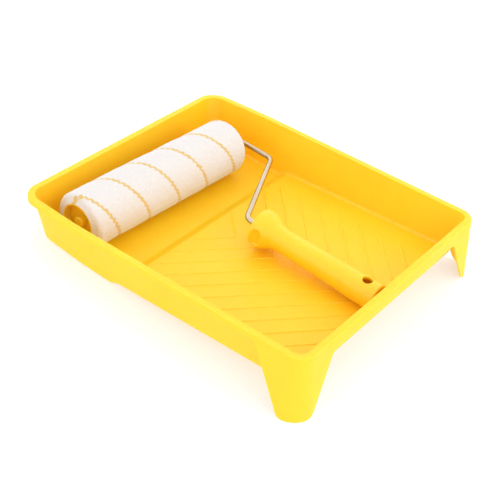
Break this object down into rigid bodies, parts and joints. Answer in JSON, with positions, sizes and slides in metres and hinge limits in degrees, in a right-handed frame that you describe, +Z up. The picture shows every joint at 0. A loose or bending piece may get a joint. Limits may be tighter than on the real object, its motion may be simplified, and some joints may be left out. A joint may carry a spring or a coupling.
{
  "type": "paint roller tray",
  "caption": "Moulded paint tray with a ribbed ramp, reservoir and corner legs, holding a cage roller with a striped pile sleeve, bent rod and hollow handle.",
  "frame": {"origin": "middle of the tray's footprint, on the level plane that its reservoir and legs stand on", "axes": "+X from the deep end to the shallow end, +Y from the free side of the roller to the rod's side, +Z up"},
  "size_m": [0.3652, 0.327, 0.0694],
  "materials": {
    "tray_plastic": "satin injection-moulded polypropylene",
    "handle_plastic": "satin injection-moulded polypropylene",
    "pile_fabric": "woven pile with thin zigzag stripes",
    "core_plastic": "extruded plastic tube",
    "cap_plastic": "moulded bearing plastic",
    "spring_wire": "drawn spring wire",
    "plated_steel": "bright zinc plate"
  },
  "bodies": {
    "tray": {"tray_shell": "tray_plastic"},
    "roller_frame": {"bent_rod": "plated_steel", "rod_collar": "plated_steel", "end_washer": "cap_plastic", "push_nut": "cap_plastic", "handle_body": "handle_plastic", "handle_plug": "handle_plastic"},
    "roller": {"pile_sleeve": "pile_fabric", "core_tube": "core_plastic", "end_cap_rod_side": "cap_plastic", "end_cap_free_side": "cap_plastic", "cage_wires": "spring_wire", "cage_centre_disc": "cap_plastic"}
  },
  "joints": [
    {"name": "roller_lift", "type": "slide", "parent": "tray", "child": "roller_frame", "axis": [0, 0, 1], "range_m": [0, 0.12]},
    {"name": "roller_spin", "type": "hinge", "parent": "roller_frame", "child": "roller", "pos_m": [-0.11993, -0.0123, 0.0339], "axis": [0.0454, 0.999, 0], "continuous": true}
  ]
}
